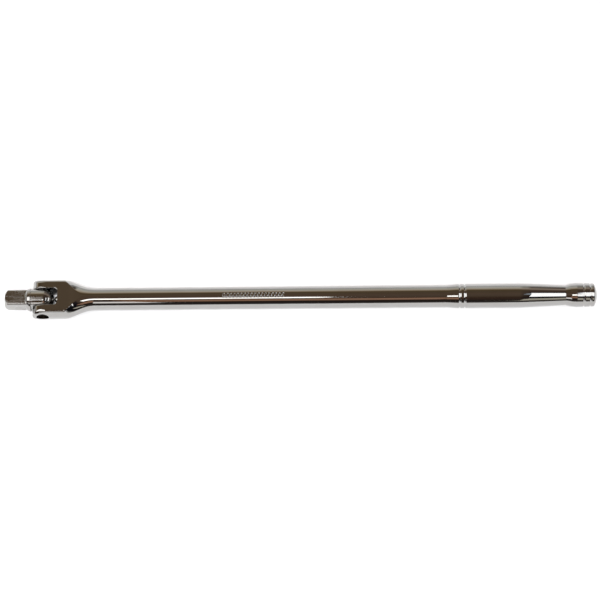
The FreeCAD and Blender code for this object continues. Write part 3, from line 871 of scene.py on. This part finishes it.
def make_floor():
    """A wide round sheet of pale paper."""
    angles = [2 * math.pi * i / FLOOR_SIDES for i in range(FLOOR_SIDES)]
    ring = [(FLOOR_RADIUS * math.cos(angle), FLOOR_RADIUS * math.sin(angle), 0) for angle in angles]
    mesh = bpy.data.meshes.new("floor")
    mesh.from_pydata(ring, [], [list(range(FLOOR_SIDES))])
    mesh.materials.append(floor_material())
    floor = bpy.data.objects.new("floor", mesh)
    bpy.context.scene.collection.objects.link(floor)


def make_camera():
    """Camera that looks down on the bar from its -Y side."""
    data = bpy.data.cameras.new("camera")
    data.sensor_width = SENSOR_WIDTH
    data.lens = SENSOR_WIDTH * CAMERA_DISTANCE / FRAME_WIDTH
    data.clip_end = CAMERA_REACH
    camera = bpy.data.objects.new("camera", data)
    bpy.context.scene.collection.objects.link(camera)
    back = Vector((0, -math.cos(CAMERA_ELEVATION), math.sin(CAMERA_ELEVATION)))
    up = Vector((0, math.sin(CAMERA_ELEVATION), math.cos(CAMERA_ELEVATION)))
    target = Vector((AIM_X, 0, AXIS_Z)) - up * AIM_DROP
    camera.location = target + back * CAMERA_DISTANCE
    turn = (-back).to_track_quat("-Z", "Y").to_matrix().to_4x4()
    camera.rotation_euler = (turn @ Matrix.Rotation(-CAMERA_ROLL, 4, "Z")).to_euler()
    bpy.context.scene.camera = camera


def window(name, x_range, lean_range, height, radiance, color):
    """Level window of soft light above the bar. Its leans are degrees from overhead to the camera's side."""
    near, far = (-height * math.tan(math.radians(lean)) for lean in lean_range)
    data = bpy.data.lights.new(name, "AREA")
    data.shape = "RECTANGLE"
    data.size = x_range[1] - x_range[0]
    data.size_y = near - far
    data.color = color
    data.energy = radiance * math.pi * data.size * data.size_y
    light = bpy.data.objects.new(name, data)
    bpy.context.scene.collection.objects.link(light)
    light.location = (sum(x_range) / 2, (near + far) / 2, height)


def make_paper_lamp():
    """Broad lamp near the camera that lights the floor, and is too soft to show in the plating."""
    data = bpy.data.lights.new("paper_lamp", "AREA")
    data.shape = "DISK"
    data.size = PAPER_LAMP_SIZE
    data.energy = PAPER_LAMP_POWER
    lamp = bpy.data.objects.new("paper_lamp", data)
    bpy.context.scene.collection.objects.link(lamp)
    lamp.location = (0, -PAPER_LAMP_HEIGHT * math.tan(PAPER_LAMP_LEAN), PAPER_LAMP_HEIGHT)
    lamp.rotation_euler = (-lamp.location).to_track_quat("-Z", "Y").to_euler()
    lamp.visible_glossy = False


def bands(tree, angle, stops):
    """Colour across the room by an angle: 0 at the far floor, 0.5 overhead and 1 at the near floor."""
    ramp = node(tree, "ShaderNodeValToRGB")
    elements = ramp.color_ramp.elements
    while len(elements) < len(stops):
        elements.new(0.5)
    for element, (degrees, color) in zip(elements, stops):
        element.position = (degrees + 90) / 180
        element.color = (*color, 1)
    tree.links.new(angle, ramp.inputs["Fac"])
    return ramp.outputs["Color"]


def make_world():
    """A dim brown room: pale beyond the bar, a pale horizon at both ends and darkness behind the camera."""
    world = bpy.data.worlds.new("room")
    bpy.context.scene.world = world
    world.use_nodes = True
    tree = world.node_tree
    background = tree.nodes["Background"]
    direction = node(tree, "ShaderNodeTexCoord").outputs["Generated"]
    parts = node(tree, "ShaderNodeSeparateXYZ")
    tree.links.new(direction, parts.inputs[0])
    across = node(tree, "ShaderNodeMath", operation="ARCTAN2")
    tree.links.new(parts.outputs["Y"], across.inputs[0])
    tree.links.new(parts.outputs["Z"], across.inputs[1])
    angle = remap(tree, across.outputs[0], math.pi / 2, -math.pi / 2, 0, 1)
    left = bands(tree, angle, ROOM_BANDS)
    right = bands(tree, angle, KNOB_END_BANDS)
    room = mixed(tree, remap(tree, parts.outputs["X"], *BANDS_MEET, 0, 1), left, right)
    clutter = noise(tree, direction, CLUTTER_SCALE, 4)
    clutter = remap(tree, clutter, *CLUTTER_RANGE, DARKEST_CLUTTER, 1)
    room = mixed(tree, clutter, (0, 0, 0), room)
    sideways = node(tree, "ShaderNodeMath", operation="ABSOLUTE")
    tree.links.new(parts.outputs["X"], sideways.inputs[0])
    rise = combine(tree, "DIVIDE", parts.outputs["Z"], sideways.outputs[0])
    horizon = remap(tree, rise, *HORIZON_RISE, 1, 0)
    tree.links.new(mixed(tree, horizon, room, HORIZON_COLOR), background.inputs["Color"])


# ---- the model -----------------------------------------------------------------------------------
def paint(node_name, material):
    """Gives a CAD node that stays in sight its material."""
    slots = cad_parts[node_name].data.materials
    slots.clear()
    slots.append(material)


make_camera()
ball_steel = metal("polished_ball")
spring_steel = metal("spring_wire")

bar = make_bar(metal("chrome_plate"))
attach(bar, "handle")
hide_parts("handle")

head = make_head(metal("chrome_head"))
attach(head, "drive_head")
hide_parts("drive_head")

pin = make_pin(metal("ground_pin"))
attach(pin, "handle")
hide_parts("hinge_pin")

for ball in ("detent_ball", "friction_ball"):
    paint(ball, ball_steel)

detent_coil = make_spring("detent_coil", "detent_spring", DETENT_TURNS, DETENT_WIRE, spring_steel)
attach(detent_coil, "drive_head")
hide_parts("detent_spring")
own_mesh(detent_coil)

friction_coil = make_spring("friction_coil", "friction_spring", FRICTION_TURNS, FRICTION_WIRE, spring_steel)
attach(friction_coil, "handle")
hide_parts("friction_spring")
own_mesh(friction_coil)

make_floor()
make_world()
make_paper_lamp()
for settings in WINDOWS:
    window(*settings)
bpy.context.scene.view_settings.view_transform = "Standard"
